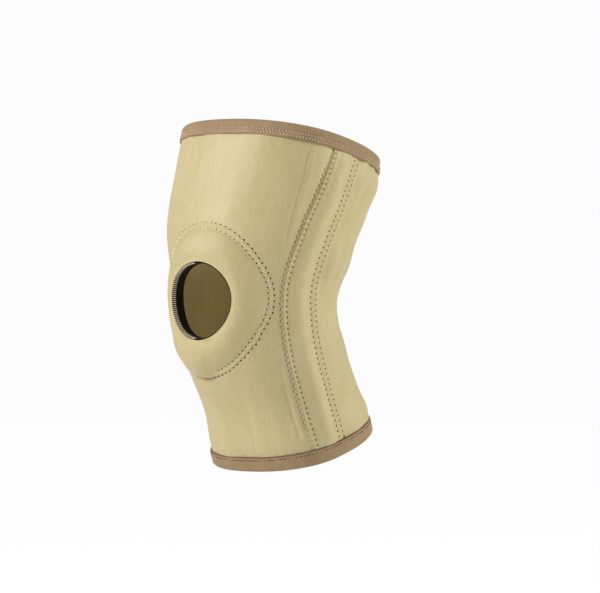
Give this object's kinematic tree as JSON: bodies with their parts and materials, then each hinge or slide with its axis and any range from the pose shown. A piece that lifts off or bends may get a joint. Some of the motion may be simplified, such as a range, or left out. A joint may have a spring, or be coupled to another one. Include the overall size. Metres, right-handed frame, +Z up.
{
  "type": "knee sleeve",
  "caption": "Bent tubular knee sleeve in soft padded cloth, with a round kneecap opening in a raised ring, a flat strip down each side and taped ends",
  "frame": {"origin": "the middle of the knee, on the axis of the leg that the sleeve is worn on", "axes": "+Z up along the leg from the shin to the thigh, -Y towards the front where the kneecap opening is, +X to the wearer's left"},
  "size_m": [0.1344, 0.1691, 0.2453],
  "materials": {
    "sleeve_cloth": "matte jersey over foam",
    "edging_thread": "matte overlocked thread",
    "binding_tape": "matte woven tape"
  },
  "bodies": {
    "root": {"front_panel": "sleeve_cloth", "back_panel": "sleeve_cloth", "side_strip_left": "sleeve_cloth", "side_strip_right": "sleeve_cloth", "patella_pad": "sleeve_cloth", "patella_edging": "edging_thread", "top_binding": "binding_tape", "bottom_binding": "binding_tape"}
  },
  "joints": []
}
